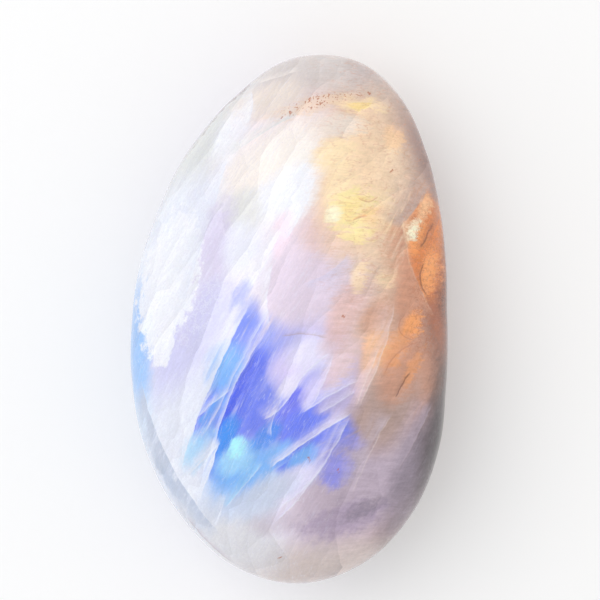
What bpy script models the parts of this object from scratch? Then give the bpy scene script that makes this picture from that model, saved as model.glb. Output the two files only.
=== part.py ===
"""A polished moonstone pebble, lying on its broad back, as one closed solid.

Units are metres and +Z is up. X is the stone's width, Y its length with the narrow
end towards +Y, and Z its thickness. The origin is on the surface that the stone
rests on, in the middle of the stone's length and width.
"""

import math

import bmesh
import bpy
from mathutils import Vector

MM = 0.001

# Driving dimensions
LENGTH = 60.0 * MM
TOP_HEIGHT = 13.2 * MM  # from the widest outline up to the crown
BACK_DEPTH = 12.4 * MM  # from the widest outline down to the back before the flat spot is worn
FLAT_DEPTH = 0.45 * MM  # how much of the back the flat spot has taken off
ROUNDNESS = 2.12  # exponent of the cross-section, where 2 is an ellipse and more is fuller
TAPER = 0.07  # how much thicker the wide end is than the middle, as a share

# The widest outline seen from above, anticlockwise from +X, as X and Y in millimetres
OUTLINE_MM = (
    (17.95, 0.0),
    (17.85, 6.0),
    (17.2, 12.2),
    (15.7, 18.7),
    (13.0, 24.7),
    (8.7, 28.8),
    (3.9, 30.0),
    (-0.9, 29.1),
    (-6.4, 25.0),
    (-11.5, 19.0),
    (-15.3, 11.2),
    (-17.7, 1.6),
    (-17.9, -6.5),
    (-16.4, -14.4),
    (-12.4, -22.1),
    (-6.4, -27.9),
    (1.0, -30.0),
    (8.4, -27.7),
    (13.9, -22.1),
    (17.0, -14.6),
    (17.8, -7.5),
)

# Broad faces that tumbling has worn: the way each looks out, and its distance from the centre
WORN_FACES = (
    (Vector((-0.46, 0.16, 0.87)), 14.0 * MM),
    (Vector((0.72, 0.22, 0.66)), 15.7 * MM),
    (Vector((0.22, -0.50, 0.84)), 18.6 * MM),
    (Vector((-0.52, 0.30, -0.80)), 14.6 * MM),
    (Vector((0.50, -0.25, -0.83)), 14.4 * MM),
)
WORN_EDGE = 1.2 * MM  # width over which a worn face blends into the round
WORN_SHARE = 0.7  # how far a worn face has gone towards a true plane

ICO_LEVELS = 5  # gives 5120 triangles
STONE_COLOUR = (0.80, 0.74, 0.78, 1.0)
STONE_ROUGHNESS = 0.12


def clear_scene():
    for obj in list(bpy.data.objects):
        bpy.data.objects.remove(obj)


def outline_knots():
    """The outline's points as angle and radius about the centre, sorted by angle."""
    points = [(math.atan2(y, x) % math.tau, math.hypot(x, y) * MM) for x, y in OUTLINE_MM]
    return sorted(points)


def outline_radius(knots, angle):
    """Radius of the outline at an angle, on a closed smooth curve through its points."""
    count = len(knots)

    def knot(index):
        turn, place = divmod(index, count)
        return knots[place][0] + turn * math.tau, knots[place][1]

    angle %= math.tau
    start = sum(1 for a, _ in knots if a <= angle) - 1
    (a0, r0), (a1, r1), (a2, r2), (a3, r3) = (knot(start + step) for step in (-1, 0, 1, 2))
    span = a2 - a1
    u = (angle - a1) / span
    slope_in = (r2 - r0) / (a2 - a0) * span
    slope_out = (r3 - r1) / (a3 - a1) * span
    rise = r1 * (2 * u**3 - 3 * u**2 + 1) + r2 * (3 * u**2 - 2 * u**3)
    return rise + slope_in * (u**3 - 2 * u**2 + u) + slope_out * (u**3 - u**2)


def worn(point):
    """The point moved up or down towards each worn face, so that the outline keeps its shape."""
    for normal, reach in WORN_FACES:
        outward = normal.normalized()
        past = (point.dot(outward) - reach) / WORN_EDGE
        press = math.log1p(math.exp(past)) * WORN_EDGE
        point.z -= press * WORN_SHARE / outward.z
    return point


def stone_point(knots, direction):
    """Where a ray from the centre leaves the stone: a rounded body on its outline, tapered and worn."""
    across = math.hypot(direction.x, direction.y)
    radius = outline_radius(knots, math.atan2(direction.y, direction.x))
    height = TOP_HEIGHT if direction.z > 0 else BACK_DEPTH
    share = (across / radius) ** ROUNDNESS + (abs(direction.z) / height) ** ROUNDNESS
    point = direction * share ** (-1 / ROUNDNESS)
    point.z *= 1 - TAPER * point.y / (LENGTH / 2)
    return worn(point)


def stone_material():
    material = bpy.data.materials.new("moonstone")
    material.use_nodes = True
    shader = material.node_tree.nodes["Principled BSDF"]
    shader.inputs["Base Color"].default_value = STONE_COLOUR
    shader.inputs["Roughness"].default_value = STONE_ROUGHNESS
    shader.inputs["Metallic"].default_value = 0.0
    return material


def cut_flat_spot(mesh_builder, level):
    """Cuts the back off at a level and closes it with one flat face."""
    cut = bmesh.ops.bisect_plane(
        mesh_builder,
        geom=mesh_builder.verts[:] + mesh_builder.edges[:] + mesh_builder.faces[:],
        plane_co=(0, 0, level),
        plane_no=(0, 0, -1),
        clear_outer=True,
    )
    rim = [part for part in cut["geom_cut"] if isinstance(part, bmesh.types.BMEdge)]
    bmesh.ops.holes_fill(mesh_builder, edges=rim, sides=0)


def make_stone():
    knots = outline_knots()
    rest_depth = BACK_DEPTH - FLAT_DEPTH
    builder = bmesh.new()
    bmesh.ops.create_icosphere(builder, subdivisions=ICO_LEVELS, radius=1)
    for vertex in builder.verts:
        vertex.co = stone_point(knots, vertex.co.normalized())
    cut_flat_spot(builder, -rest_depth)
    bmesh.ops.translate(builder, verts=builder.verts[:], vec=(0, 0, rest_depth))
    bmesh.ops.recalc_face_normals(builder, faces=builder.faces[:])
    mesh = bpy.data.meshes.new("moonstone")
    builder.to_mesh(mesh)
    builder.free()
    mesh.materials.append(stone_material())
    mesh.shade_smooth()
    stone = bpy.data.objects.new("moonstone", mesh)
    bpy.context.scene.collection.objects.link(stone)
    return stone


clear_scene()
make_stone()
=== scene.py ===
"""The looks of a polished moonstone pebble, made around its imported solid."""

import math
from collections import namedtuple

import bpy
import numpy as np
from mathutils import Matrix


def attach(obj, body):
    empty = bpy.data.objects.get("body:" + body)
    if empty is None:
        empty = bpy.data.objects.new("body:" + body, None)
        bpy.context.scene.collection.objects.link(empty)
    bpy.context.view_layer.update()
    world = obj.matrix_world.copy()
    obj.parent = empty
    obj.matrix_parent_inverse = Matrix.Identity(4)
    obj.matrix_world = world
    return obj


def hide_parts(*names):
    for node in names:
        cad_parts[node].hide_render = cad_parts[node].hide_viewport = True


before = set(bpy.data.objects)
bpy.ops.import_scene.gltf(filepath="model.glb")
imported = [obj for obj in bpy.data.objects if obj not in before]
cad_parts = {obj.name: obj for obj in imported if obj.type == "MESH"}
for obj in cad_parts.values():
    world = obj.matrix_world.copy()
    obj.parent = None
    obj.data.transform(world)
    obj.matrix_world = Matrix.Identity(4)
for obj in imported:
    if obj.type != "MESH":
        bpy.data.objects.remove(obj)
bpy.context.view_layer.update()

bl_info = {
    "name": "Moonstone Pebble",
    "version": (1, 0, 0),
    "blender": (4, 5, 0),
    "location": "3D View > Sidebar > Moonstone",
    "description": "A polished moonstone pebble with cleavage veils, a blue flash and a golden glow",
    "category": "Add Mesh",
}

MM = 0.001
STONE_NODE = "moonstone"

# Colours inside the stone, among them painted shade of the right rim and a painted dark reflection along the
# left rim: where each lies, and its red, green and blue on a screen, 0 to 255 a channel
COLOURS = {
    "left": ("Body at the left rim", 206, 227, 250),
    "left_inner": ("Body inside the left rim", 228, 234, 247),
    "middle_left": ("Body left of the middle", 234, 231, 243),
    "middle": ("Body in the middle", 228, 213, 227),
    "middle_right": ("Body right of the middle", 226, 200, 200),
    "warm": ("Warm half of the body", 217, 182, 163),
    # Towards the right rim the body is partly painted shade of the light from the left
    "deep_warm": ("Body inside the right rim", 198, 148, 125),
    "right": ("Body at the right rim", 122, 82, 70),
    "milk": ("White veils", 230, 234, 247),
    "cold_white": ("White heart", 240, 242, 250),
    "band_white": ("White band across the flash", 222, 230, 249),
    "cream": ("Cream field of the crown", 247, 239, 233),
    "ash": ("Grey cap", 213, 204, 201),
    "light_ash": ("Grey patch of the crown", 234, 222, 212),
    "cool_grey": ("Grey with a breath of green", 220, 222, 221),
    "pale_grey": ("Lower left of the foot", 217, 217, 222),
    "warm_grey": ("Beige grey of the foot", 205, 191, 187),
    "mauve_grey": ("End of the cap", 196, 181, 179),
    "beige": ("Warm field of the crown", 236, 209, 182),
    "rose_grey": ("Shoulder of the warm side", 194, 166, 154),
    "shoulder": ("Rim of the warm side's shoulder", 158, 130, 124),
    "rose": ("Rose haze", 230, 203, 200),
    "deep_rose": ("Lower rose haze", 222, 186, 178),
    "pink": ("Pink streak", 248, 226, 240),
    "pink_lavender": ("Middle of the stone", 223, 209, 226),
    "lavender_white": ("Left of the flash", 208, 207, 241),
    "lavender_grey": ("Wedge above the flash", 216, 209, 233),
    "dim_lavender": ("Right of the feathers", 186, 176, 216),
    "lilac": ("Glow within the flash", 220, 210, 250),
    "lilac_white": ("Pale side of the feathers", 226, 222, 247),
    "violet": ("Violet spots", 146, 146, 226),
    "violet_grey": ("Smudges of the foot", 160, 142, 172),
    "light_mauve": ("Pale sheet of the foot", 196, 182, 196),
    "mauve": ("Foot of the warm side", 184, 168, 184),
    "slate": ("Above the dark rim of the foot", 126, 116, 130),
    # Painted shade: the dark right rim of the foot, where the light from the left falls off
    "smoke": ("Dark rim of the foot", 50, 38, 42),
    "flash_haze": ("Haze around the blue flash", 160, 168, 242),
    "light_flash": ("Blue flash between veils", 120, 144, 243),
    "flash": ("Blue flash", 104, 126, 239),
    "deep_flash": ("Deepest blue", 74, 96, 226),
    "violet_flash": ("Violet side of the flash", 110, 118, 238),
    "azure": ("Azure edge of the flash", 70, 148, 240),
    "deep_azure": ("Low window of the flash", 106, 166, 241),
    "light_azure": ("Azure around the cyan spot", 124, 182, 246),
    "cyan": ("Cyan spot", 176, 242, 255),
    "pale_cyan": ("Around the cyan spot", 166, 216, 250),
    "pale_blue": ("Foot of the flash", 178, 203, 240),
    "pale_grey_blue": ("Below the flash", 202, 211, 230),
    "gold": ("Heart of the golden glow", 255, 233, 172),
    "deep_gold": ("Deepest of the golden glow", 255, 224, 154),
    "pale_gold": ("Golden glow", 255, 228, 188),
    "gold_white": ("Brightest sparks of the warm side", 255, 245, 214),
    "gold_haze": ("Field around the golden glow", 251, 219, 182),
    "amber": ("Amber side", 222, 134, 72),
    "light_amber": ("Amber glow", 248, 168, 102),
    "pale_amber": ("Amber glow further in", 248, 194, 146),
    "umber_rose": ("Brown side", 208, 152, 124),
    "umber_grey": ("Below the brown side", 176, 150, 142),
    "rust": ("Rust of the right side", 180, 106, 70),
    "umber": ("Brown rim", 86, 44, 32),
    # Painted dark reflection of the grazing rim, brown, along the upper and lower left rim
    "stain": ("Brown stain along the upper left rim", 132, 106, 98),
    "rim_blue": ("Blue of the left rim", 148, 192, 247),
    "rim_shade": ("Grey blue of the clear rim", 168, 184, 210),
    "rim_grey": ("Clear rim of the lower left", 190, 200, 220),
}

# The stone's outline seen from above, anticlockwise from +X, as X and Y in millimetres
OUTLINE_MM = (
    (17.95, 0.0),
    (17.85, 6.0),
    (17.2, 12.2),
    (15.7, 18.7),
    (13.0, 24.7),
    (8.7, 28.8),
    (3.9, 30.0),
    (-0.9, 29.1),
    (-6.4, 25.0),
    (-11.5, 19.0),
    (-15.3, 11.2),
    (-17.7, 1.6),
    (-17.9, -6.5),
    (-16.4, -14.4),
    (-12.4, -22.1),
    (-6.4, -27.9),
    (1.0, -30.0),
    (8.4, -27.7),
    (13.9, -22.1),
    (17.0, -14.6),
    (17.8, -7.5),
)

# Broad faces worn by tumbling: the way each looks out, and its distance from the centre in millimetres
WORN_FACES = (
    ((-0.46, 0.16, 0.87), 14.0),
    ((0.72, 0.22, 0.66), 15.7),
    ((0.22, -0.50, 0.84), 18.6),
    ((-0.52, 0.30, -0.80), 14.6),
    ((0.50, -0.25, -0.83), 14.4),
)
WORN_EDGE_MM = 1.2  # width over which a worn face blends into the round
WORN_SHARE = 0.7  # how far a worn face has gone towards a true plane
RIM_SHARE = 0.9999  # how far out towards the outline a height on the crown is worked out

# Shallow waves of the surface: the way each runs in degrees, its length in millimetres and its phase
WAVES = ((20, 9.0, 0.4), (75, 7.0, 2.1), (130, 11.0, 4.0), (165, 5.5, 1.2), (48, 14.0, 3.0))
WAVE_DEPTH_MM = 0.07
PIT_SIZE_MM = 0.35
PIT_DEPTH_MM = 0.12

# Directions of the surface grid: their shares along the width, length and thickness, and how much closer
# together they are over the crown
GRID_PROPORTIONS = (18, 30, 13)
GRID_CROWDING = 0.3

# A soft patch of colour inside the stone: its place seen from above and its half-lengths along and
# across, in millimetres, the turn of its long side in degrees, how soft its edge is, how strong it is,
# the name of its colour, and how torn its edge is
Glow = namedtuple("Glow", "name place reach turn soft strength colour torn", defaults=(0,))

# A cleavage sheet: where its crisp edge starts, bows through and ends, seen from above in millimetres,
# how far its colour fades out to the left of that way (right if negative), how strong the fade and the
# bright edge are, the name of the fade's colour, how many fine lines per millimetre repeat the edge, and
# the name of the edge's colour
Veil = namedtuple(
    "Veil", "name start middle end reach fade edge colour echoes edge_colour", defaults=(0, "milk")
)

# Broad fields of the body, from the largest to the smallest
FIELDS = (
    Glow("grey cap", (2.5, 29.8), (18, 7.5), 5, 0.9, 1, "ash"),
    Glow("mauve end of the cap", (12, 26.5), (8, 5), -32, 1, 0.9, "mauve_grey"),
    Glow("cool shoulder", (-11.5, 19.6), (17, 5.4), 58, 0.9, 1, "cool_grey"),
    Glow("cream field", (-1, 16.6), (10.6, 7.4), 40, 1, 1, "cream"),
    Glow("beige field", (9.4, 14.6), (14.5, 7.8), 84, 0.9, 1, "beige"),
    Glow("rose shoulder", (16.4, 18), (13, 4.6), -72, 1, 1, "rose_grey"),
    Glow("white left", (-12.6, 5.5), (14, 6.4), 76, 1, 1, "milk"),
    Glow("lavender middle", (1.8, 2.6), (9, 6.6), 25, 1, 0.95, "pink_lavender"),
    Glow("lavender left", (-11.4, -4.4), (9.5, 6), 82, 1, 0.95, "lavender_white"),
    Glow("white lower left", (-11.6, -13.4), (11, 5.6), 65, 1, 1, "milk"),
    Glow("mauve foot", (8.6, -18), (13, 8.4), 50, 1, 1, "mauve"),
    Glow("brown foot", (10.4, -9.6), (7, 4.8), 60, 1, 1, "umber_grey"),
    # The slate foot is partly painted shade deepening towards the right rim; the dark foot is painted shade
    # of that rim
    Glow("slate foot", (14.6, -16.2), (10, 3.8), 66, 1, 0.8, "slate"),
    Glow("slate foot below", (14, -23.6), (8, 3.6), 42, 1, 0.7, "slate"),
    Glow("dark foot", (18.7, -14), (16, 5), 80, 0.9, 1, "smoke"),
    Glow("beige foot", (3.4, -28.8), (16, 5.6), 2, 1, 1, "warm_grey"),
    Glow("grey foot", (-6.4, -24.4), (8.5, 4.6), -30, 1, 0.9, "pale_grey"),
    Glow("mauve foot, left", (-1.8, -22.6), (3.6, 1.9), 10, 1, 0.5, "mauve"),
    Glow("flash haze", (-1, -9.6), (12.5, 8.4), 52, 1, 0.95, "flash_haze"),
    Glow("low flash haze", (-3, -17.4), (9, 4.4), 30, 1, 0.9, "pale_blue"),
)

# Sheets that throw the blue flash
FLASHES = (
    Veil("first flash", (-11, -14.2), (-8.7, -7.5), (-4, 2.4), -10, 1, 0, "light_flash"),
    Glow("first flash head", (-4.6, 0.6), (2.4, 1.4), 62, 1, 0.6, "light_flash", 0.6),
    Glow("first flash right side", (-3.9, -2), (2.4, 1), 62, 1, 0.55, "flash_haze", 0.6),
    Glow("first flash light end", (-7, -5.2), (4, 2.4), 60, 1, 0.9, "light_azure", 0.5),
    Glow("pale low window", (-9.6, -14), (3.6, 1.8), 62, 1, 0.8, "pale_cyan", 1),
    Veil("low window", (-10.1, -11.4), (-8.8, -9.6), (-7, -7.4), -2.4, 0.9, 0, "deep_azure"),
    Veil("second flash", (-8.9, -18), (-6.6, -8.9), (-2.6, -1.6), -6, 1, 0, "flash"),
    Veil("second flash core", (-8.9, -18), (-6.6, -8.9), (-3.2, -2.4), -3, 1, 0, "deep_flash"),
    Veil("third flash", (-3.4, -12.4), (-0.5, -9.1), (1.1, -6.5), -4.4, 1, 0, "violet_flash"),
    Glow("violet flash", (1.6, -11.2), (4.2, 2.8), 35, 0.9, 0.95, "flash"),
    Veil("fourth flash", (-2.3, -16.3), (3.2, -12.3), (6.9, -10), -4.6, 1, 0, "flash"),
)

# Smaller cool lights within the fields
COOL_LIGHTS = (
    Glow("azure below the flash", (-5.6, -16.4), (5, 3.4), 40, 1, 1, "light_azure"),
    Glow("azure", (-6.9, -12.6), (3.4, 1.6), 65, 0.8, 1, "azure"),
    Glow("cyan around", (-5.6, -15), (3.4, 2), 45, 1, 0.85, "pale_cyan", 0.6),
    Glow("cyan spot", (-5.6, -13.9), (1.8, 1.1), 70, 1, 1, "cyan", 1.4),
    Glow("blue right of the core", (-3.2, -9.8), (3.6, 2.6), 65, 1, 0.8, "flash", 0.8),
    Glow("azure middle", (-2.4, -12.4), (3.2, 1.5), 50, 1, 0.8, "azure", 0.8),
    Glow("azure middle below", (-1.6, -14.8), (3.6, 1.6), 35, 1, 0.9, "light_azure"),
    Glow("lilac glow", (-0.2, -4.9), (3.4, 2.6), 35, 1, 1, "lilac"),
    Glow("lilac glow below", (-0.3, -6.7), (2, 0.9), 45, 1, 1, "lilac_white"),
    Glow("lilac white", (2.2, -3.4), (4, 2.6), 15, 1, 1, "lilac_white"),
    Glow("lilac right", (2.4, -7.4), (2.6, 1.4), 65, 1, 0.7, "lilac"),
    Glow("azure fourth", (1.6, -15.2), (2.8, 1.2), 32, 1, 0.9, "light_azure", 0.6),
    Glow("lilac low", (0.4, -17.6), (4.2, 1.5), 32, 1, 0.9, "lilac_white"),
    Glow("pale blue low", (-2.6, -19.7), (5.6, 2.8), 35, 1, 0.9, "pale_grey_blue"),
    Glow("lavender grey", (5.2, -8.8), (3.4, 1.4), 30, 1, 0.8, "dim_lavender"),
    Glow("violet spot", (5.2, -16.6), (2.6, 2.2), 25, 1, 1, "violet", 1.2),
    Glow("small violet spot", (7.2, -13.6), (1.6, 1.2), 10, 1, 0.55, "violet", 1.2),
    Glow("smudges", (6.2, -22), (6.4, 2.4), 15, 1, 0.55, "violet_grey", 2.2),
    Glow("dark smudge", (8.4, -20.8), (3.2, 1.2), 30, 1, 0.5, "slate", 2.2),
    Glow("pale green", (-4.6, 11.7), (4.2, 3), 30, 1, 0.8, "cool_grey"),
    Glow("lavender wedge", (-8.9, 5.6), (10, 2.7), 74, 0.8, 0.95, "lavender_grey", 0.9),
    Glow("lavender between", (-8.6, 0.8), (5.2, 3.4), 70, 1, 0.9, "lavender_white", 0.6),
    Glow("grey by the specks", (-2.4, 24.2), (5.4, 2.6), 22, 1, 0.9, "light_ash"),
    Glow("white wedge", (-6, 20.6), (4.6, 2), 62, 0.9, 0.6, "cold_white", 0.8),
    Glow("white streak", (-9, 14), (5, 1.6), 62, 0.9, 0.4, "milk", 0.8),
    Glow("white band", (-3.4, 6.8), (7, 2), 75, 1, 0.5, "cold_white"),
    Glow("pale field", (-5.3, 7.8), (4, 2.6), 60, 0.9, 0.65, "milk"),
    Glow("white heart", (0.2, 13.8), (5.4, 3.4), 52, 1, 1, "cold_white", 0.6),
    Glow("violet spot above", (-5.4, 2.6), (2.2, 1.1), 60, 1, 0.5, "light_flash", 1),
    Glow("pink streak", (-0.8, 9.2), (3.4, 1.2), 70, 1, 0.9, "pink"),
    Glow("blue rim", (-17, -3.2), (9.6, 2.7), 88, 0.9, 0.95, "rim_blue", 0.5),
    # The torn white patch and strip are painted highlights on the left side
    Glow("torn white patch", (-13.2, 4.4), (9, 3.2), 76, 0.2, 0.9, "cold_white", 1.8),
    Glow("torn white strip", (-13.5, -2.8), (3, 1.1), 72, 0.25, 0.85, "cold_white", 1.8),
    Glow("clear rim shade", (-13.6, -17.2), (3.6, 1), -58, 1, 0.9, "rim_shade"),
)

# Smaller warm lights, with wrinkled edges
WARM_LIGHTS = (
    Glow("rose haze", (4.6, 9), (4.2, 2.4), 5, 1, 0.9, "rose", 1),
    Glow("rose haze by the flash", (5.4, -4.6), (4.4, 1.8), 58, 1, 0.8, "rose", 1),
    Glow("rose haze below", (6.3, 1.4), (5, 2.2), 62, 1, 0.8, "deep_rose", 1),
    Glow("rose haze lower still", (4.7, -2.2), (2.8, 1.7), 40, 1, 0.45, "deep_rose", 1),
    Glow("brown beside the embers", (9.4, 0.6), (3, 1.7), 60, 1, 0.55, "umber_rose", 1),
    Glow("gold field", (7.2, 14.6), (10.4, 5.2), 82, 1, 0.7, "gold_haze", 1.4),
    Glow("gold above", (7.6, 23.6), (4.2, 1.3), -2, 1, 0.9, "pale_gold", 2.4),
    Glow("gold left", (4.9, 17.8), (3.2, 2.4), 10, 0.9, 0.9, "pale_gold", 2.6),
    Glow("gold between", (5.6, 15), (3.4, 2), 60, 1, 0.8, "pale_gold", 1.6),
    Glow("spark above", (7.8, 23.4), (2, 0.8), 0, 1, 0.9, "deep_gold", 1.6),
    Glow("gold right", (11.5, 19.6), (2.2, 1.2), 80, 1, 0.6, "pale_gold", 2.4),
    Glow("gold middle", (9.9, 12), (2.6, 3), 0, 1, 0.8, "pale_gold", 2.6),
    Glow("gold heart", (7, 12), (3.3, 3), 35, 0.8, 1, "gold", 3.4),
    Glow("gold heart below", (7.6, 9.6), (2.6, 1), 0, 0.9, 0.9, "gold", 3),
    Glow("peach right of the heart", (9.4, 11.6), (1.8, 1.3), 20, 1, 0.45, "pale_amber", 1.6),
    Glow("gold right of the heart", (11.2, 10.6), (2.2, 1.8), 30, 1, 0.75, "pale_gold", 2),
    Glow("peach above", (11.7, 20), (2.2, 1.4), 75, 1, 0.45, "pale_amber", 1.6),
    Glow("deep heart", (7.2, 12.4), (1.9, 1.3), 50, 1, 0.5, "deep_gold", 2),
    Glow("gold white", (5.1, 11.6), (1.4, 1.1), 40, 1, 1, "gold_white", 1.6),
    Glow("gold low", (7.4, 5), (2.2, 1.2), 75, 0.9, 0.75, "pale_gold", 2.6),
    Glow("gold low right", (10.3, 5), (1.6, 1), 0, 0.9, 0.7, "pale_gold", 2.6),
    Glow("rose brown", (13, 4.2), (5, 2), 78, 1, 0.9, "umber_rose", 0.6),
    Glow("rust", (17.6, 5.6), (11.4, 2.6), 89, 1, 0.9, "rust", 0.6),
    Glow("amber side", (15.6, 8.4), (7.4, 3.6), -86, 0.5, 1, "amber", 0.8),
    Glow("bright amber", (15.6, 5.2), (3.8, 1.5), 84, 0.8, 1, "light_amber", 1.2),
    Glow("amber above", (15.1, 12.3), (2.4, 1.2), 66, 0.9, 1, "pale_amber", 1.2),
    Glow("amber halo", (14.1, 9.2), (2.4, 1.2), 60, 1, 0.8, "light_amber", 1.2),
    Glow("amber spark", (13.5, 10), (1.8, 0.9), 62, 0.9, 1, "gold_white", 1.2),
    Glow("brown side", (12, -5.8), (4.6, 3.2), 60, 1, 0.8, "umber_rose", 0.6),
    Glow("ember above", (13.4, -0.5), (2.2, 1.6), 40, 0.7, 0.9, "light_amber", 2),
    Glow("ember", (11.2, -3.2), (3.2, 1.8), 55, 0.9, 0.6, "light_amber", 2),
    Glow("ember left", (9, -3.2), (3.4, 1.4), 64, 0.9, 0.8, "pale_amber", 2),
    Glow("ember far", (13.6, -5.2), (2.6, 1), 60, 1, 0.5, "light_amber", 2),
    # The brown rim darkens the right rim: partly the stone's brown, partly painted shade
    Glow("brown rim", (18.9, 5.6), (12, 2.3), 89, 1, 1, "umber", 0.4),
    Glow("grey patch of the crown", (5.6, 20.9), (4, 1.7), 0, 1, 0.85, "light_ash", 1),
    # The brown shoulder darkens the rim of the warm side's shoulder: partly the stone's colour, partly
    # painted shade
    Glow("brown shoulder", (16.4, 18.4), (8, 2.8), -66, 1, 1, "shoulder"),
    Glow("stained band", (2.8, 23.6), (7, 1.2), 14, 1, 0.6, "beige", 1.6),
)

# Tiny worn pits, seen from above in millimetres
PITS = (
    (-1.1, 22.4),
    (0.0, 22.8),
    (2.0, 24.0),
    (2.8, 24.1),
    (3.4, 23.6),
    (8.7, 25.3),
    (11.3, 16.1),
    (14.7, 18.2),
    (5.9, 0.5),
    (2.4, -15.3),
    (5.3, -16.6),
    (-0.9, -26.3),
)

# What each pit looks like: the reach, turn, softness, strength and colour of a glow
PIT_MARK = ((0.26, 0.16), 10, 0.7, 0.75, "rust")

# Where brown specks and a net of white lines lie
SPECKS = Glow("specks", (3.6, 24), (6.6, 1), 15, 1, 0.8, "rust")
WEB = Glow("web", (-10, 1), (6.5, 3.2), 62, 1, 0.5, "milk")

# Painted dark reflection along the rim of the upper left, in brown, laid out as seen from the left side
RIM_REFLECTION = Glow("rim stain", (19.6, 0.8), (10.5, 2.3), 6, 1, 0.9, "stain", 3.2)

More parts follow.
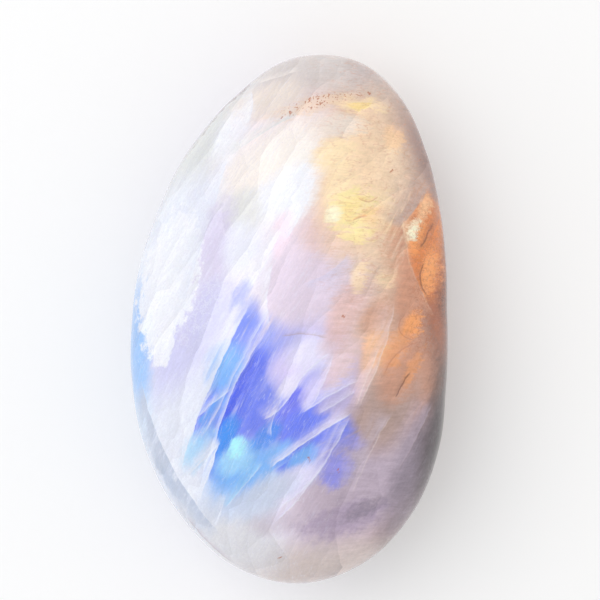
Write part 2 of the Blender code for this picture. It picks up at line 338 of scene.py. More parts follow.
# White sheets that lie over the lights
VEILS = (
    Veil("upper flash veil", (-12.2, -17.5), (-9, -8.3), (-4, 2.4), 4.2, 0.85, 0.3, "milk", 1.1),
    Veil("flash band", (-8.4, -11.2), (-5.6, -5.4), (-2.2, 0.9), 0.5, 0.4, 0.35, "band_white"),
    Veil("inner flash band", (-8.9, -18), (-6.6, -8.9), (-3.4, -2.6), 0.5, 0.5, 0.45, "band_white"),
    Veil("lower flash band", (-9.9, -20.3), (-8.6, -16.4), (-7.3, -12.8), 2.2, 1, 0.2, "milk", 1.4),
    Veil("low left feather", (-11.6, -17.5), (-9.4, -15.5), (-7.3, -13.3), 1.3, 0.8, 0.4, "milk", 2.4),
    Veil("inner veil", (-11, -11.6), (-8.2, -9), (-6.1, -7.3), 1, 0.6, 0.4, "band_white", 2.8),
    Veil("inner veil below", (-12.2, -17.4), (-9.7, -15.3), (-8, -13.1), 1.2, 0.7, 0.4, "band_white", 2.8),
    Veil("upper right edge", (-2, -1.3), (-2.3, 2.7), (-1.6, 6.3), 1.3, 0.6, 0.3, "cold_white"),
    Veil("upper left band", (-4.4, 3), (-2.7, 5.9), (-0.6, 10.1), 1.6, 0.7, 0.3, "cold_white", 1.2),
    Veil("feather", (-2.9, -10.9), (-0.5, -9.1), (1.1, -6.5), 1.9, 0.9, 0.5, "lilac_white", 2.4),
    Veil("feather above", (0.7, -7.1), (2.5, -5), (4.5, -3.5), 1.5, 0.8, 0.5, "lilac_white", 2.8),
    Veil("brushed feather", (1.2, -10.2), (4.2, -8.3), (7.9, -6.4), 1.4, 0.7, 0.4, "lilac_white", 3.2),
    Veil("brushed echo", (3.2, -10.2), (5.3, -8.9), (7.3, -7.6), 0.8, 0.6, 0.3, "lilac_white", 2.8),
    Veil("low feather", (-2.3, -16.3), (3.2, -12.3), (6.9, -10), 1.2, 0.85, 0.6, "lilac_white", 2.8),
    Veil("short feather", (1.9, -9.9), (3.6, -7.1), (4.8, -3.5), 1.6, 0.6, 0.2, "lilac_white", 1.6),
    Veil("long edge above", (7.4, -9.7), (10, -4.1), (11.5, 2.2), 2.4, 0.5, 0.2, "rose", 0, "cream"),
    Veil("long edge beside", (7.1, -9.6), (8.5, -6.3), (9.9, -2.8), 1.2, 0.4, 0.2, "rose", 0, "cream"),
    Veil("long edge below", (-2.1, -22.8), (3.4, -16.3), (6.7, -10.1), 2.2, 0.7, 0.4, "lilac_white", 1.6),
    Veil("right edge", (6.9, -19.2), (9.2, -13.9), (11.4, -10.2),
         2.6, 0.75, 0.15, "light_mauve", 0.9, "light_ash"),
    Veil("right edge beyond", (11.8, -17.1), (13.9, -13.3), (16.1, -9.1),
         2.6, 0.5, 0.08, "mauve", 0.9, "umber_grey"),
    Veil("low flash edge", (-7.1, -20.9), (-4.9, -18.1), (-2.7, -15.4), 1.5, 0.7, 0.3, "pale_cyan", 1.8),
    Veil("low smear", (-1.4, -20.5), (1.2, -18.8), (3.4, -16.3), 1.2, 0.6, 0.4, "lilac_white", 2),
    Veil("hair edge", (-2, -12.6), (-1.7, -10.8), (-1.3, -9.5), 0.8, 0.5, 0.4, "lilac_white"),
    Veil("low hair edge", (-8.3, -23.1), (-7.6, -21.4), (-6.9, -19.1), 1.4, 0.6, 0.4, "milk"),
    Veil("clear rim", (-7.4, -24), (-13.4, -15.3), (-16.5, -6.4), 4.2, 1, 0.3, "rim_grey"),
    Veil("amber edge", (16.4, 0.2), (13.6, 5.7), (12.4, 11.6), 3.4, 1, 0.2, "umber_rose", 0, "beige"),
    Veil("upper amber edge", (11.9, 9.8), (13.9, 12.1), (16.6, 15.2),
         3.4, 1, 0.2, "rose_grey", 0, "umber_rose"),
    Veil("shoulder step", (-4.6, 21.6), (-4.1, 23.2), (-4.3, 25.5), 1.8, 0.55, 0.4, "cold_white"),
    Veil("shoulder step below", (-8.3, 12), (-7.5, 15.3), (-6.7, 17.8), 1.6, 0.6, 0.3, "milk"),
    Veil("left edge", (-11.5, 1.5), (-9.8, 7.6), (-8.3, 11.9), 2.4, 0.8, 0.2, "milk", 1.4),
    Veil("heart edge", (-0.5, 8.3), (1.8, 12.4), (3, 16.1), 1.8, 0.6, 0.1, "cold_white"),
    Veil("middle fold", (1.2, 3.9), (4.5, 5.4), (6.6, 7.4), -1.6, 0.6, 0.1, "lavender_grey", 0, "pink"),
    Veil("rose fold", (8.1, 2.2), (9.1, 4.3), (10.4, 6.3), 1.4, 0.4, 0.1, "rose_grey", 0, "beige"),
    Veil("shoulder band", (-6.7, 17.9), (-3, 20.4), (1.2, 22.7),
         1.6, 0.7, 0.1, "cool_grey", 0, "cold_white"),
    Veil("cap step", (-3.6, 26.4), (-1.9, 26.8), (1.2, 27.8), 1, 0.5, 0.2, "cream", 0, "cream"),
    # Painted dark reflection along the rim of the lower left
    Veil("rim stain below", (-6.2, -27.4), (-9, -25), (-11.6, -22), -0.7, 0.4, 0.35, "mauve", 0, "stain"),
    Veil("middle crack", (-0.9, -1.7), (1.2, -1.5), (4.2, -1.9),
         0.4, 0.3, 0.35, "umber_grey", 0, "umber_grey"),
    Veil("ember crack", (11.6, -8.5), (12.4, -7.1), (13.3, -5.6), 0.4, 0.3, 0.6, "umber", 0, "umber"),
    Veil("ember cell", (14.2, -2.6), (12.4, -1.6), (13, 0.9), -1.2, 0.5, 0.35, "umber_rose", 0, "rust"),
    Veil("ember cell below", (10.3, -6), (12, -3.6), (14.6, -2.4), 0.8, 0.4, 0.35, "umber_rose", 0, "rust"),
    Veil("amber crack", (14.6, 7.9), (15.4, 9.3), (16.3, 10.9), 0.5, 0.5, 0.6, "rust", 0, "umber"),
    Veil("amber crack below", (15.6, 2.4), (14.5, 4.9), (15, 6.4), 0.5, 0.5, 0.6, "rust", 0, "umber"),
    Veil("gold crack", (6.9, 10.8), (7.6, 11.2), (8.6, 11.3), 0.4, 0.4, 0.5, "light_amber", 0, "umber_rose"),
    Veil("gold crack above", (7.4, 13.4), (8.4, 12.9), (9.8, 13.6),
         0.5, 0.4, 0.5, "pale_amber", 0, "umber_rose"),
)

# Colours of the body, from the pale left rim to the dark right rim, partly the stone's own warmth and partly
# painted shade of the
# light from the left: how far across the stone each comes, as a share, and how much of that share each
# millimetre along X, Y and Z adds
BODY = (
    (0.0, "left"),
    (0.1, "left_inner"),
    (0.35, "middle_left"),
    (0.5, "middle"),
    (0.63, "middle_right"),
    (0.75, "warm"),
    (0.88, "deep_warm"),
    (1.0, "right"),
)
BODY_SLOPE = (1 / 36, 0.12 / 36, 0.0)

# A kind of smooth noise: how far its grain is turned in degrees, how many features it has for each
# millimetre along X, Y and Z, how many finer octaves it adds, and how strong each is beside the last
Noise = namedtuple("Noise", "turn fineness octaves fade")
DRIFT = Noise(0, (0.11, 0.11, 0.11), 1, 0.5)
BRUSH = Noise(-62, (0.315, 1.35, 0.45), 4, 0.7)
CRINKLE = Noise(0, (0.36, 1.92, 0.8), 5, 0.72)
TREMBLE = Noise(0, (0.45, 0.45, 0.45), 3, 0.6)
TEARS = Noise(0, (0.9, 0.9, 0.9), 4, 0.7)
STEEP_STREAKS = Noise(-62, (0.14, 1.5, 0.35), 3, 0.62)
SHALLOW_STREAKS = Noise(-33, (0.14, 1.5, 0.35), 3, 0.62)
CLOUDS = Noise(0, (0.13, 0.13, 0.13), 3, 0.55)
FIBRES = Noise(-58, (0.5, 3, 1.2), 3, 0.7)
GRAIN = Noise(0, (4, 4, 4), 1, 0.5)
FOLDS = Noise(0, (0.45, 2.4, 1), 1.5, 0.5)
HAIRS = Noise(-60, (0.12, 2, 0.4), 2, 0.5)

# How far the noises move the layers
DRIFT_MM = 2.0
BRUSH_MM = 1.6
CRINKLE_MM = 2.6
TREMBLE_MM = 0.6

# Cleavage facets: their turn in degrees, how many there are for each millimetre along X, Y and Z, and
# how much their own tone counts beside the slope across each
FACET_TURN = -60
FACET_FINENESS = (0.12, 0.4, 0.25)
FACET_TONE = 0.8

LEAN = (0.25, -0.12)  # how far the cleavage sheets move across X and Y for each millimetre of height
VEIL_CRISP_MM = 0.04  # how soft a veil's edge is
VEIL_EDGE_MM = 0.12  # how wide the bright line along it is, to each side
VEIL_END = 0.13  # the value of t (1 - t) at which a veil is whole, with t its share of the way along
ECHO_DEPTH = 0.4  # how far a sheet fades between two echoes of its edge

# Where things begin and where they are whole, in millimetres from the middle of the widest outline
WARM_X = (-1.0, 9.0)
FACE_Z = (-4.0, 3.5)
FACET_STEP_Z = 2.0  # how far facets move the end of the face
# FOOT_Y and FOOT_Z bound the painted shade along the rim of the warm side's foot
FOOT_Y = (0.0, -10.0)
FOOT_Z = (-13.0, -1.0)
CROWN_Y = (-4.0, 6.0)
AMBER_X = (11.5, 14.5)
AMBER_LOW_Y = (-7.0, -1.0)
AMBER_TOP_Y = (15.0, 11.0)
# Where the painted dark rim reflection begins and is whole, growing towards the left
RIM_REFLECTION_X = (0.0, -4.0)

# Values of a noise or of a facet's random number at which things begin and are whole
STREAK_VALUES = (0.22, 0.55)
CLOUD_VALUES = (0.36, 0.66)
SHEET_PICKS = (0.66, 0.74)
SHEET_SLOPES = (-0.3, 0.4)
RIM_REFLECTION_PICKS = (-0.1, 1.1)
FOLD_TEARS = (-0.14, 0.1)
SPECK_VALUES = (0.09, 0.15)

# Half-widths of fine lines, in the values of their noise
FOLD_LINE = 0.045
VEIN_LINE = 0.035
CREASE_LINE = 0.02
HAIR_LINE = 0.016
WEB_LINE = 0.04

# How strong the parts of the back, the texture and the fine lines are; a pair is how much comes with
# the cool side or the face, and how much there is without it
CLOUD_SHARE = 0.5
FOOT_SHARE = 0.85
SHEET_SHARE = 0.8
FIBRE_DEPTH = (0.04, 0.18)
FACET_DEPTH = (-0.06, 0.15)
WRINKLE_DEPTH = 0.65
GRAIN_DEPTH = 0.12
FOLD_SHARE = 0.42
VEIN_SHARE = 0.6
CREASE_SHARE = 0.24
HAIR_SHARE = (0.24, 0.04)

POLISH = 0.13  # roughness of the polished surface
TEAR_WEAR = 0.2  # what torn places, folds and hairs add to it
FOLD_WEAR = 0.06
HAIR_WEAR = 0.3
STONE_IOR = 1.53
MILKINESS = 0.35  # share of the light that goes into the stone
LIGHT_DEPTH_MM = (1.0, 0.85, 0.75)  # how far red, green and blue light go into it

# The stage, in metres, apart from the camera's sensor in millimetres
FLOOR_WIDTH = 3.0
FLOOR_ROUGHNESS = 0.9
FLOOR_GLOSS = 0.1
KEY_PLACE = (-0.24, 0.16, 0.5)
KEY_WIDTH = 0.42
SENSOR_WIDTH = 36
NEAREST = 0.01


def length_property(label, description, millimetres):
    """A length that a user can change."""
    return bpy.props.FloatProperty(
        name=label, description=description, default=millimetres * MM, unit="LENGTH", precision=5
    )


class PebbleShape(bpy.types.PropertyGroup):
    """Sizes of the pebble's body."""

    top_height: length_property("Top height", "From the widest outline up to the crown", 13.2)
    back_depth: length_property(
        "Back depth", "From the widest outline down to the back, before its flat spot is worn", 12.4
    )
    flat_depth: length_property("Flat depth", "How much of the back the flat spot has taken off", 0.45)
    roundness: bpy.props.FloatProperty(
        name="Roundness",
        description="Exponent of the cross-section, where 2 is an ellipse and more is fuller",
        default=2.12,
    )
    taper: bpy.props.FloatProperty(
        name="Taper",
        description="How much thicker the wide end is than the middle, as a share",
        default=0.07,
        subtype="FACTOR",
    )
    rows_along: bpy.props.IntProperty(
        name="Rows along",
        description="Rings of the surface grid from end to end",
        default=230,
    )
    rows_around: bpy.props.IntProperty(
        name="Rows around",
        description="Points of each ring of the surface grid",
        default=400,
    )


def screen(red, green, blue):
    """A colour read off a screen, 0 to 255 a channel, as Blender's linear colour."""
    channels = np.array((red, green, blue)) / 255
    low = channels / 12.92
    high = ((channels + 0.055) / 1.055) ** 2.4
    return tuple(float(value) for value in np.where(channels > 0.04045, high, low))


def colour_property(label, description, default):
    """A colour that a user can change."""
    return bpy.props.FloatVectorProperty(
        name=label, description=description, default=default, subtype="COLOR", min=0, max=1
    )


class PebbleColours(bpy.types.PropertyGroup):
    """Colours inside the stone, with painted shade and a painted rim reflection among them."""

    __annotations__ = {
        name: colour_property(name.replace("_", " ").capitalize(), description, screen(*channels))
        for name, (description, *channels) in COLOURS.items()
    }


class StageLayout(bpy.types.PropertyGroup):
    """The camera, lights and floor."""

    lens: bpy.props.FloatProperty(
        name="Lens",
        description="Focal length in millimetres on a sensor 36 mm wide",
        default=135.0,
    )
    field: length_property("Field", "Width of the picture at the stone's widest outline", 68.2)
    aim: bpy.props.FloatVectorProperty(
        name="Aim",
        description="Where the camera looks, seen from above",
        default=(1.22 * MM, 2.16 * MM),
        size=2,
        unit="LENGTH",
        precision=5,
    )
    key_strength: bpy.props.FloatProperty(
        name="Key strength",
        description="Radiance of the large soft light on the left",
        default=1.15,
    )
    fill_strength: bpy.props.FloatProperty(
        name="Surrounding light",
        description="Strength of the light from all around",
        default=0.9,
    )
    floor_colour: colour_property("Floor", "Pale floor", (0.95, 0.95, 0.95))


# Shape


def rest_depth(shape):
    """Depth of the floor below the widest outline."""
    return shape.back_depth - shape.flat_depth


def outline_radius(angle):
    """Radius of the outline in metres: a closed cubic in the angle through the outline's points, whose
    slope at each point is that of the chord between its neighbours."""
    points = np.array(OUTLINE_MM) * MM
    turns = np.arctan2(points[:, 1], points[:, 0]) % math.tau
    order = np.argsort(turns)
    knots = turns[order]
    radii = np.hypot(points[:, 0], points[:, 1])[order]
    knots = np.concatenate((knots[-2:] - math.tau, knots, knots[:3] + math.tau))
    radii = np.concatenate((radii[-2:], radii, radii[:3]))
    slopes = np.gradient(radii)
    slopes[1:-1] = (radii[2:] - radii[:-2]) / (knots[2:] - knots[:-2])
    angle = angle % math.tau
    at = np.searchsorted(knots, angle, side="right") - 1
    span = knots[at + 1] - knots[at]
    u = (angle - knots[at]) / span
    rise = radii[at] * (2 * u**3 - 3 * u**2 + 1) + radii[at + 1] * (3 * u**2 - 2 * u**3)
    return rise + span * (slopes[at] * (u**3 - 2 * u**2 + u) + slopes[at + 1] * (u**3 - u**2))


def press_worn_faces(x, y, z):
    """Heights moved towards each worn plane by the soft part of what stands past it."""
    for normal, reach in WORN_FACES:
        out = np.array(normal) / np.linalg.norm(normal)
        past = (x * out[0] + y * out[1] + z * out[2] - reach * MM) / (WORN_EDGE_MM * MM)
        z = z - np.logaddexp(0, past) * WORN_EDGE_MM * MM * WORN_SHARE / out[2]
    return z


def worn_marks(x, y):
    """How far the crown is worn down: long shallow waves, each a sine along its own way, and a round dent
    e^(-distance² / size²) at each pit."""
    depth = np.zeros_like(x)
    for turn, length, phase in WAVES:
        way = math.radians(turn)
        depth = depth + np.sin((x * math.cos(way) + y * math.sin(way)) * math.tau / (length * MM) + phase)
    depth = (1 + depth / len(WAVES)) * WAVE_DEPTH_MM
    for place_x, place_y in PITS:
        away = np.hypot(x - place_x * MM, y - place_y * MM) / (PIT_SIZE_MM * MM)
        depth = depth + PIT_DEPTH_MM * np.exp(-(away**2))
    return depth * MM


def tapered(y, z, shape):
    """Heights scaled evenly along the stone, more towards its wide end."""
    half_length = max(y for _, y in OUTLINE_MM) * MM
    return z * (1 - shape.taper * y / half_length)


def stone_surface(shape):
    """Grid of points over the whole stone. One parameter runs from end to end and the other around
    the long axis, closer together over the crown. Each gives a direction from the centre, and the
    point lies where (across / outline radius)^n + (height / half-thickness)^n = 1, with n the
    roundness; then come the taper, the worn faces, the waves and dents, and the flat spot, where
    heights stop."""
    half_width, half_length, half_height = GRID_PROPORTIONS
    ends = np.linspace(0, np.pi, shape.rows_along + 2)[:, None]
    around = np.arange(shape.rows_around) * math.tau / shape.rows_around
    around = around + GRID_CROWDING * np.cos(around)
    dx = np.sin(ends) * np.cos(around) * half_width
    dy = np.cos(ends) * np.ones_like(around) * half_length
    dz = np.sin(ends) * np.sin(around) * half_height
    across = np.hypot(dx, dy)
    height = np.where(dz > 0, shape.top_height, shape.back_depth)
    radius = outline_radius(np.arctan2(dy, dx))
    n = shape.roundness
    reach = ((across / radius) ** n + (np.abs(dz) / height) ** n) ** (-1 / n)
    x, y, z = dx * reach, dy * reach, dz * reach
    z = press_worn_faces(x, y, tapered(y, z, shape))
    z = z - worn_marks(x, y) * np.clip(z / shape.top_height, -1, 1)
    floor = rest_depth(shape)
    return np.stack((x, y, np.maximum(z, -floor) + floor), axis=-1)


def closed_grid_mesh(name, grid):
    """Mesh of a grid whose rows close on themselves and whose first and last rows are one point."""
    rows, around = grid.shape[0] - 2, grid.shape[1]
    points = np.concatenate((grid[0, :1], grid[1:-1].reshape(-1, 3), grid[-1, :1]))
    index = 1 + np.arange(rows * around).reshape(rows, around)
    right = np.roll(index, -1, axis=1)
    quads = np.stack((index[:-1], index[1:], right[1:], right[:-1]), axis=-1).reshape(-1, 4)
    last = len(points) - 1
    first_fan = np.stack((np.zeros(around, int), index[0], right[0]), axis=-1)
    last_fan = np.stack((index[-1], np.full(around, last), right[-1]), axis=-1)
    mesh = bpy.data.meshes.new(name)
    mesh.from_pydata(points.tolist(), [], quads.tolist() + first_fan.tolist() + last_fan.tolist())
    mesh.update()
    return mesh


def crown_height(place, shape):
    """Height above the widest outline of the crown over a place seen from above: the surface's formula
    solved for its height, without the waves and dents."""
    x, y = (np.array([value * MM]) for value in place)
    share = np.minimum(np.hypot(x, y) / outline_radius(np.arctan2(y, x)), RIM_SHARE)
    z = shape.top_height * (1 - share**shape.roundness) ** (1 / shape.roundness)
    return float(press_worn_faces(x, y, tapered(y, z, shape))[0])


# Node wiring


class Wiring:
    """Adds nodes to one node tree and joins them."""

    def __init__(self, tree):
        self.tree = tree

    def node(self, kind, *values, **settings):
        """A node with the given settings, and with values or sockets in its inputs, in order."""
        node = self.tree.nodes.new(kind)
        for name, value in settings.items():
            setattr(node, name, value)
        for socket, value in zip(node.inputs, values):
            self.join(value, socket)
        return node

    def join(self, value, socket):
        """Links an input to a socket, or sets it to a value."""
        if isinstance(value, bpy.types.NodeSocket):
            self.tree.links.new(value, socket)
        else:
            socket.default_value = value

    def math(self, operation, *values):
        """The result of a math node."""
        return self.node("ShaderNodeMath", *values, operation=operation).outputs[0]

    def times(self, product, *factors):
        """The product of two or more numbers."""
        for factor in factors:
            product = self.math("MULTIPLY", product, factor)
        return product

    def step(self, value, low, high):
        """0 where the value is at low, 1 where it is at high, and smooth between."""
        settings = {"interpolation_type": "SMOOTHSTEP", "clamp": False}
        return self.node("ShaderNodeMapRange", value, low, high, 0.0, 1.0, **settings).outputs[0]

    def line(self, value, width):
        """1 where the value is 0, and down to 0 where it is the width away from 0."""
        return self.step(self.math("ABSOLUTE", value), width, 0.0)

    def vector(self, operation, *values):
        """The result of a vector math node."""
        node = self.node("ShaderNodeVectorMath", *values, operation=operation)
        return node.outputs["Value" if operation == "DOT_PRODUCT" else "Vector"]

    def scaled(self, vector, scale):
        """A vector or colour times a number."""
        node = self.node("ShaderNodeVectorMath", vector, operation="SCALE")
        self.join(scale, node.inputs["Scale"])
        return node.outputs["Vector"]

    def moved(self, point, shift, reach):
        """A point moved by a shift times the reach."""
        return self.vector("ADD", point, self.scaled(shift, reach))

    def turned(self, vector, turn):
        """A vector turned about Z by an angle in degrees."""
        node = self.node("ShaderNodeVectorRotate", vector, rotation_type="Z_AXIS")
        node.inputs["Angle"].default_value = math.radians(turn)
        return node.outputs[0]

    def parts(self, vector):
        """A vector's X, Y and Z."""
        outputs = self.node("ShaderNodeSeparateXYZ", vector).outputs
        return outputs["X"], outputs["Y"], outputs["Z"]

    def joined(self, x, y, z):
        """A vector of three numbers."""
        return self.node("ShaderNodeCombineXYZ", x, y, z).outputs[0]

    def noise(self, point, kind, output="Fac"):
        """Smooth noise of one kind, 0 to 1."""
        if kind.turn:
            point = self.turned(point, kind.turn)
        node = self.node("ShaderNodeTexNoise")
        self.join(self.vector("MULTIPLY", point, kind.fineness), node.inputs["Vector"])
        node.inputs["Scale"].default_value = 1.0
        node.inputs["Detail"].default_value = kind.octaves
        node.inputs["Roughness"].default_value = kind.fade
        return node.outputs[output]

    def ripple(self, point, kind):
        """Smooth noise of one kind, about -0.5 to 0.5."""
        return self.math("SUBTRACT", self.noise(point, kind), 0.5)

    def shift(self, point, kind):
        """A vector of three smooth noises of one kind, each about -0.5 to 0.5."""
        return self.vector("SUBTRACT", self.noise(point, kind, "Color"), (0.5, 0.5, 0.5))

    def blend(self, share, below, above):
        """The colour below, with a share of the colour above mixed in."""
        node = self.node("ShaderNodeMix", data_type="RGBA")
        self.join(share, node.inputs["Factor"])
        colours = [socket for socket in node.inputs if socket.type == "RGBA"]
        self.join(below, colours[0])
        self.join(above, colours[1])
        return next(socket for socket in node.outputs if socket.type == "RGBA")

    def group(self, tree, label, inputs):
        """A node group with its label and inputs."""
        node = self.node("ShaderNodeGroup", node_tree=tree, label=label)
        for name, value in inputs.items():
            self.join(value, node.inputs[name])
        return node.outputs[0]


def new_group(name, colours, vectors, numbers):
    """An empty shader node group with inputs of three kinds and a colour as its output."""
    tree = bpy.data.node_groups.new(name, "ShaderNodeTree")
    for kind, inputs in (("Color", colours), ("Vector", vectors), ("Float", numbers)):
        for label in inputs:
            tree.interface.new_socket(label, in_out="INPUT", socket_type="NodeSocket" + kind)
    tree.interface.new_socket("Result", in_out="OUTPUT", socket_type="NodeSocketColor")
    given = tree.nodes.new("NodeGroupInput").outputs
    result = tree.nodes.new("NodeGroupOutput").inputs["Result"]
    return Wiring(tree), given, result


def glow_group():
    """Soft oval of colour. The dot products with its two axes give a point's distance from its centre
    in half-lengths, and the colour fades out as the sum of their squares nears 1."""
    wires, given, result = new_group(
        "Glow",
        ("Colour", "Tint"),
        ("Point", "Centre", "Long Axis", "Short Axis"),
        ("Core", "Strength", "Torn", "Tears"),
    )
    local = wires.vector("SUBTRACT", given["Point"], given["Centre"])
    u = wires.vector("DOT_PRODUCT", local, given["Long Axis"])
    v = wires.vector("DOT_PRODUCT", local, given["Short Axis"])
    squares = wires.math("MULTIPLY_ADD", v, v, wires.math("MULTIPLY", u, u))
    squares = wires.math("MULTIPLY_ADD", given["Tears"], given["Torn"], squares)
    share = wires.times(wires.step(squares, 1.0, given["Core"]), given["Strength"])
    wires.join(wires.blend(share, given["Colour"], given["Tint"]), result)
    return wires.tree


def veil_group():
    """Pale sheet with a crisp edge. The edge is the curve v = bow t (1 - t) over a chord, with t
    the share of the way along it. On its pale side the sheet fades out over the reach, broken by streaks,
    and the edge itself is a bright line."""
    wires, given, result = new_group(
        "Veil",
        ("Colour", "Tint", "Edge Tint"),
        ("Point", "Start", "Along", "Across"),
        ("Bow", "Reach", "Fade", "Edge", "Streaks", "Echoes"),
    )
    local = wires.vector("SUBTRACT", given["Point"], given["Start"])
    t = wires.vector("DOT_PRODUCT", local, given["Along"])
    v = wires.vector("DOT_PRODUCT", local, given["Across"])
    arch = wires.math("SUBTRACT", t, wires.math("MULTIPLY", t, t))
    away = wires.math("SUBTRACT", v, wires.math("MULTIPLY", arch, given["Bow"]))
    ends = wires.step(arch, 0.0, VEIL_END)
    crisp = wires.step(away, -VEIL_CRISP_MM, VEIL_CRISP_MM)
    sheet = wires.times(wires.step(away, given["Reach"], 0.0), crisp)
    echo = wires.math("FRACT", wires.math("MULTIPLY", away, given["Echoes"]))
    sheet = wires.times(sheet, wires.math("MULTIPLY_ADD", echo, -ECHO_DEPTH, 1.0))
    sheet = wires.times(sheet, given["Streaks"], ends, given["Fade"])
    edge = wires.times(wires.line(away, VEIL_EDGE_MM), ends, given["Edge"])
    colour = wires.blend(sheet, given["Colour"], given["Tint"])
    wires.join(wires.blend(edge, colour, given["Edge Tint"]), result)
    return wires.tree


# Material


class Pattern:
    """The points and noises that the layers of the stone share."""

    def __init__(self, wires, shape):
        place = wires.scaled(wires.node("ShaderNodeTexCoord").outputs["Object"], 1 / MM)
        point = wires.vector("SUBTRACT", place, (0, 0, rest_depth(shape) / MM))
        crinkle = wires.shift(point, CRINKLE)
        x, y, z = wires.parts(point)
        leaned_x, leaned_y = (wires.math("MULTIPLY_ADD", z, lean, part) for lean, part in zip(LEAN, (x, y)))
        leaned = wires.joined(leaned_x, leaned_y, z)
        self.point = point
        self.drifted = wires.moved(point, wires.shift(point, DRIFT), DRIFT_MM)
        self.soft = wires.moved(self.drifted, wires.shift(point, BRUSH), BRUSH_MM)
        self.warm = wires.moved(self.drifted, crinkle, CRINKLE_MM)
        self.sheet = wires.moved(leaned, wires.shift(point, TREMBLE), TREMBLE_MM)
        self.tears = wires.ripple(point, TEARS)
        self.wrinkles = wires.parts(crinkle)[0]
        self.steep = wires.step(wires.noise(point, STEEP_STREAKS), *STREAK_VALUES)
        self.shallow = wires.step(wires.noise(point, SHALLOW_STREAKS), *STREAK_VALUES)
        self.x, self.y, self.z = wires.parts(self.drifted)
        self.warmth = wires.step(self.x, *WARM_X)
        self.coolness = wires.math("SUBTRACT", 1.0, self.warmth)


def lean_of(place, shape):
    """A place on the crown, moved along the lean of the cleavage to the level of the widest outline."""
    return np.array(place) + np.array(LEAN) * crown_height(place, shape) / MM


def glow_inputs(glow):
    """A glow's centre and its two axes, each divided by the half-length along it."""
    turn = math.radians(glow.turn)
    along, across = glow.reach
    return {
        "Centre": (*glow.place, 0.0),
        "Long Axis": (math.cos(turn) / along, math.sin(turn) / along, 0.0),
        "Short Axis": (-math.sin(turn) / across, math.cos(turn) / across, 0.0),
        "Core": (1 - glow.soft) ** 2,
        "Strength": glow.strength,
        "Torn": glow.torn,
    }


def veil_inputs(veil, shape):
    """The chord and bow of a veil's edge, from its three places on the crown."""
    start, middle, end = (lean_of(place, shape) for place in (veil.start, veil.middle, veil.end))
    chord = end - start
    length = float(np.linalg.norm(chord))
    along = chord / length
    across = np.array((-along[1], along[0])) * math.copysign(1, veil.reach)
    t = float((middle - start) @ along) / length
    return {
        "Start": (*start, 0.0),
        "Along": (*(along / length), 0.0),
        "Across": (*across, 0.0),
        "Bow": float((middle - start) @ across) / (t * (1 - t)),
        "Reach": abs(veil.reach),
        "Fade": veil.fade,
        "Edge": veil.edge,
        "Echoes": veil.echoes,
    }


def body_colour(wires, pattern, tint):
    """Colours that follow each other smoothly across the stone's width; their darkening towards the right
    rim is partly painted shade.
    """
    across = wires.vector("DOT_PRODUCT", pattern.soft, BODY_SLOPE)
    node = wires.node("ShaderNodeValToRGB", wires.math("ADD", across, 0.5))
    node.color_ramp.interpolation = "EASE"
    elements = node.color_ramp.elements
    while len(elements) < len(BODY):
        elements.new(0.5)
    for element, (position, name) in zip(elements, BODY):
        element.position = position
        element.color = tint(name)
    return node.outputs["Color"]


def layered_colour(wires, pattern, colour, glow_tree, shape, tint):
    """The colour with every field, flash, light, veil and pit laid over it, one after the other."""
    veil_tree = veil_group()
    pits = tuple(Glow("pit", place, *PIT_MARK) for place in PITS)
    for layer in FIELDS + FLASHES + COOL_LIGHTS + WARM_LIGHTS + VEILS + pits:
        inputs = {"Colour": colour, "Tint": tint(layer.colour)}
        if isinstance(layer, Glow):
            inputs |= glow_inputs(layer)
            warm = layer in WARM_LIGHTS
            inputs["Point"] = pattern.warm if warm else pattern.soft
            inputs["Tears"] = pattern.wrinkles if warm else pattern.tears
            colour = wires.group(glow_tree, layer.name, inputs)
        else:
            inputs |= veil_inputs(layer, shape)
            run, rise = np.abs(np.subtract(layer.end, layer.start))
            inputs["Point"] = pattern.sheet
            inputs["Streaks"] = pattern.steep if rise > run else pattern.shallow
            inputs["Edge Tint"] = tint(layer.edge_colour)
            colour = wires.group(veil_tree, layer.name, inputs)
    return colour


def facets(wires, pattern):
    """Cleavage facets, as long slanting cells. Gives how far a point is across its cell, about -0.5 to
    0.5, and three random numbers of the cell."""
    point = wires.vector("MULTIPLY", wires.turned(pattern.sheet, FACET_TURN), FACET_FINENESS)
    node = wires.node("ShaderNodeTexVoronoi")
    wires.join(point, node.inputs["Vector"])
    node.inputs["Scale"].default_value = 1.0
    across = wires.parts(wires.vector("SUBTRACT", point, node.outputs["Position"]))[1]
    return across, wires.parts(node.outputs["Color"])


def back_colour(wires, pattern, body, across, pick, tint):
    """Sides and back: the body under pale clouds, painted shade along the rim of the foot on the warm side,
    and on some facets of the cool side a pale blue sheet."""
    clouds = wires.step(wires.noise(pattern.point, CLOUDS), *CLOUD_VALUES)
    cloud_colour = wires.blend(pattern.warmth, tint("lavender_white"), tint("ash"))
    back = wires.blend(wires.times(clouds, CLOUD_SHARE), body, cloud_colour)
    # Painted shade: the warm side's foot darkens towards its rim
    foot = wires.times(pattern.warmth, wires.step(pattern.y, *FOOT_Y), wires.step(pattern.z, *FOOT_Z))
    back = wires.blend(wires.times(foot, FOOT_SHARE), back, tint("smoke"))
    sheets = wires.times(wires.step(pick, *SHEET_PICKS), wires.step(across, *SHEET_SLOPES))
    sheets = wires.times(sheets, pattern.steep, pattern.coolness, SHEET_SHARE)
    return wires.blend(sheets, back, tint("flash_haze"))


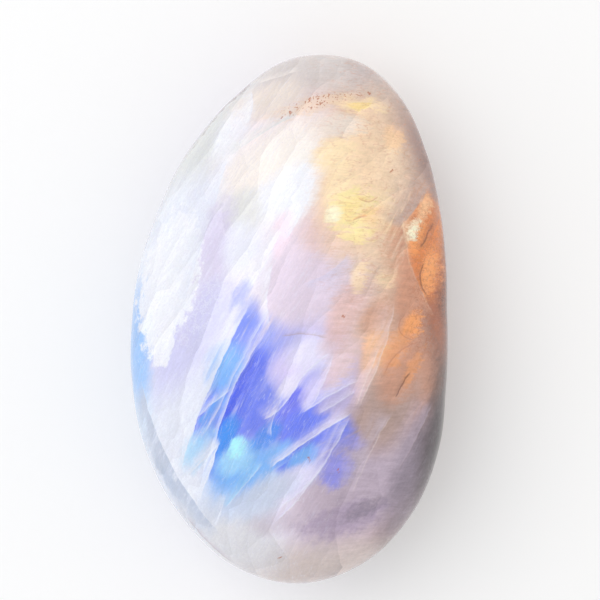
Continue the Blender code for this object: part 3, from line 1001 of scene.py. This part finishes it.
def stone_material(shape, colours):
    """Polished milky stone: the layers of the face go over into the back, then come the texture of
    fibres, wrinkles, facets and grain, and the fine lines and marks, among them a painted dark reflection
    along the rim."""
    material = bpy.data.materials.new("moonstone")
    material.use_nodes = True
    shader = material.node_tree.nodes["Principled BSDF"]
    wires = Wiring(material.node_tree)

    def tint(name):
        """A colour by its name."""
        return (*getattr(colours, name), 1.0)

    pattern = Pattern(wires, shape)
    glow_tree = glow_group()
    body = body_colour(wires, pattern, tint)
    face = layered_colour(wires, pattern, body, glow_tree, shape, tint)
    across, (tone, sheet_pick, rim_reflection_pick) = facets(wires, pattern)
    facet = wires.math("MULTIPLY_ADD", wires.math("SUBTRACT", tone, 0.5), FACET_TONE, across)
    back = back_colour(wires, pattern, body, across, sheet_pick, tint)
    depth = wires.math("MULTIPLY_ADD", facet, FACET_STEP_Z, wires.parts(pattern.soft)[2])
    front = wires.step(depth, *FACE_Z)
    colour = wires.blend(front, back, face)

    fibres = wires.ripple(pattern.point, FIBRES)
    grain = wires.ripple(pattern.point, GRAIN)
    texture = wires.times(fibres, wires.math("MULTIPLY_ADD", pattern.coolness, *FIBRE_DEPTH))
    wrinkles = wires.times(pattern.wrinkles, pattern.warmth)
    texture = wires.math("MULTIPLY_ADD", wrinkles, WRINKLE_DEPTH, texture)
    facet_depth = wires.math("MULTIPLY_ADD", front, *FACET_DEPTH)
    texture = wires.math("MULTIPLY_ADD", facet, facet_depth, texture)
    texture = wires.math("MULTIPLY_ADD", grain, GRAIN_DEPTH, texture)
    colour = wires.scaled(colour, wires.math("ADD", texture, 1.0))

    folds = wires.line(wires.ripple(pattern.point, FOLDS), FOLD_LINE)
    folds = wires.times(folds, wires.step(pattern.tears, *FOLD_TEARS))
    on_crown = wires.times(pattern.warmth, wires.step(pattern.y, *CROWN_Y))
    colour = wires.blend(wires.times(folds, on_crown, FOLD_SHARE), colour, tint("umber_rose"))

    on_amber = wires.times(wires.step(pattern.x, *AMBER_X), wires.step(pattern.y, *AMBER_LOW_Y))
    on_amber = wires.times(on_amber, wires.step(pattern.y, *AMBER_TOP_Y), front)
    veins = wires.times(wires.line(pattern.tears, VEIN_LINE), on_amber, VEIN_SHARE)
    colour = wires.blend(veins, colour, tint("rust"))

    creases = wires.times(wires.line(fibres, CREASE_LINE), pattern.coolness, CREASE_SHARE)
    colour = wires.blend(creases, colour, tint("dim_lavender"))
    hairs = wires.line(wires.ripple(pattern.sheet, HAIRS), HAIR_LINE)
    hairs = wires.times(hairs, wires.math("MULTIPLY_ADD", pattern.coolness, *HAIR_SHARE))
    colour = wires.blend(wires.times(hairs, pattern.shallow), colour, tint("milk"))

    # The rim mark is a painted dark reflection along the upper left rim; the specks and the web are the
    # stone's own marks
    side = wires.joined(pattern.y, pattern.z, 0.0)
    rim_reflection_share = wires.times(wires.step(pattern.x, *RIM_REFLECTION_X), wires.step(rim_reflection_pick, *RIM_REFLECTION_PICKS))
    specks = wires.step(grain, *SPECK_VALUES)
    web = wires.line(pattern.tears, WEB_LINE)
    marks = (RIM_REFLECTION, side, rim_reflection_share), (SPECKS, pattern.soft, specks), (WEB, pattern.soft, web)
    for mark, where, share in marks:
        inputs = glow_inputs(mark) | {"Colour": colour, "Tint": tint(mark.colour), "Point": where}
        inputs |= {"Tears": pattern.tears, "Strength": wires.times(share, mark.strength)}
        colour = wires.group(glow_tree, mark.name, inputs)

    wires.join(colour, shader.inputs["Base Color"])
    wear = wires.math("MULTIPLY_ADD", folds, FOLD_WEAR, POLISH)
    wear = wires.math("MULTIPLY_ADD", pattern.tears, TEAR_WEAR, wear)
    wires.join(wires.math("MULTIPLY_ADD", hairs, HAIR_WEAR, wear), shader.inputs["Roughness"])
    shader.inputs["IOR"].default_value = STONE_IOR
    shader.inputs["Subsurface Weight"].default_value = MILKINESS
    shader.inputs["Subsurface Radius"].default_value = LIGHT_DEPTH_MM
    shader.inputs["Subsurface Scale"].default_value = MM
    return material


# Operators


class MOONSTONE_OT_stone(bpy.types.Operator):
    """Makes the polished stone in place of its plain solid"""

    bl_idname = "moonstone.stone"
    bl_label = "Make Stone"

    def execute(self, context):
        shape = context.scene.pebble_shape
        mesh = closed_grid_mesh("stone", stone_surface(shape))
        mesh.shade_smooth()
        mesh.materials.append(stone_material(shape, context.scene.pebble_colours))
        stone = bpy.data.objects.new("stone", mesh)
        context.scene.collection.objects.link(stone)
        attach(stone, "root")
        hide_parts(STONE_NODE)
        return {"FINISHED"}


def add_floor(context, layout):
    """Square floor at the level that the stone rests on."""
    half = FLOOR_WIDTH / 2
    mesh = bpy.data.meshes.new("floor")
    corners = [(-half, -half, 0), (half, -half, 0), (half, half, 0), (-half, half, 0)]
    mesh.from_pydata(corners, [], [(0, 1, 2, 3)])
    floor = bpy.data.objects.new("floor", mesh)
    context.scene.collection.objects.link(floor)
    material = bpy.data.materials.new("floor")
    material.use_nodes = True
    shader = material.node_tree.nodes["Principled BSDF"]
    shader.inputs["Base Color"].default_value = (*layout.floor_colour, 1.0)
    shader.inputs["Roughness"].default_value = FLOOR_ROUGHNESS
    shader.inputs["Specular IOR Level"].default_value = FLOOR_GLOSS
    mesh.materials.append(material)


def add_key_light(context, strength, aim):
    """Square area light that looks at a point. Its strength is the radiance of its face."""
    light = bpy.data.lights.new("key", "AREA")
    light.shape = "SQUARE"
    light.size = KEY_WIDTH
    light.energy = strength * KEY_WIDTH * KEY_WIDTH * math.pi
    lamp = bpy.data.objects.new("key", light)
    lamp.location = KEY_PLACE
    way = np.array(aim) - np.array(KEY_PLACE)
    pan = math.atan2(way[1], way[0]) - math.pi / 2
    tilt = math.atan2(math.hypot(way[0], way[1]), -way[2])
    lamp.rotation_euler = (tilt, 0, pan)
    lamp.visible_camera = False
    context.scene.collection.objects.link(lamp)


def add_surroundings(context, strength):
    """Even white light from all around."""
    world = bpy.data.worlds.new("surroundings")
    world.use_nodes = True
    background = world.node_tree.nodes["Background"]
    background.inputs["Color"].default_value = (1, 1, 1, 1)
    background.inputs["Strength"].default_value = strength
    context.scene.world = world


def add_camera(context, layout, level):
    """Camera that looks straight down, as far above the level as its field needs."""
    lens = bpy.data.cameras.new("camera")
    lens.lens = layout.lens
    lens.sensor_width = SENSOR_WIDTH
    lens.clip_start = NEAREST
    camera = bpy.data.objects.new("camera", lens)
    camera.location = (*layout.aim, level + layout.field * layout.lens / SENSOR_WIDTH)
    context.scene.collection.objects.link(camera)
    context.scene.camera = camera


class MOONSTONE_OT_stage(bpy.types.Operator):
    """Makes the pale floor, the soft lights and the camera that looks straight down on the stone"""

    bl_idname = "moonstone.stage"
    bl_label = "Make Stage"

    def execute(self, context):
        layout = context.scene.pebble_stage
        level = rest_depth(context.scene.pebble_shape)
        add_floor(context, layout)
        add_key_light(context, layout.key_strength, (0, 0, level))
        add_surroundings(context, layout.fill_strength)
        add_camera(context, layout, level)
        context.scene.view_settings.view_transform = "Standard"
        return {"FINISHED"}


class MOONSTONE_PT_panel(bpy.types.Panel):
    """Lists the pebble's settings and the buttons that make it"""

    bl_idname = "MOONSTONE_PT_panel"
    bl_label = "Moonstone Pebble"
    bl_space_type = "VIEW_3D"
    bl_region_type = "UI"
    bl_category = "Moonstone"

    def draw(self, context):
        scene = context.scene
        for settings in (scene.pebble_shape, scene.pebble_colours, scene.pebble_stage):
            box = self.layout.box()
            for name in settings.__annotations__:
                box.prop(settings, name)
        self.layout.operator(MOONSTONE_OT_stone.bl_idname)
        self.layout.operator(MOONSTONE_OT_stage.bl_idname)


CLASSES = (
    PebbleShape,
    PebbleColours,
    StageLayout,
    MOONSTONE_OT_stone,
    MOONSTONE_OT_stage,
    MOONSTONE_PT_panel,
)


def register():
    for kind in CLASSES:
        bpy.utils.register_class(kind)
    bpy.types.Scene.pebble_shape = bpy.props.PointerProperty(type=PebbleShape)
    bpy.types.Scene.pebble_colours = bpy.props.PointerProperty(type=PebbleColours)
    bpy.types.Scene.pebble_stage = bpy.props.PointerProperty(type=StageLayout)


def unregister():
    del bpy.types.Scene.pebble_stage
    del bpy.types.Scene.pebble_colours
    del bpy.types.Scene.pebble_shape
    for kind in reversed(CLASSES):
        bpy.utils.unregister_class(kind)


def main():
    register()
    bpy.ops.moonstone.stone()
    bpy.ops.moonstone.stage()


if __name__ == "__main__":
    main()
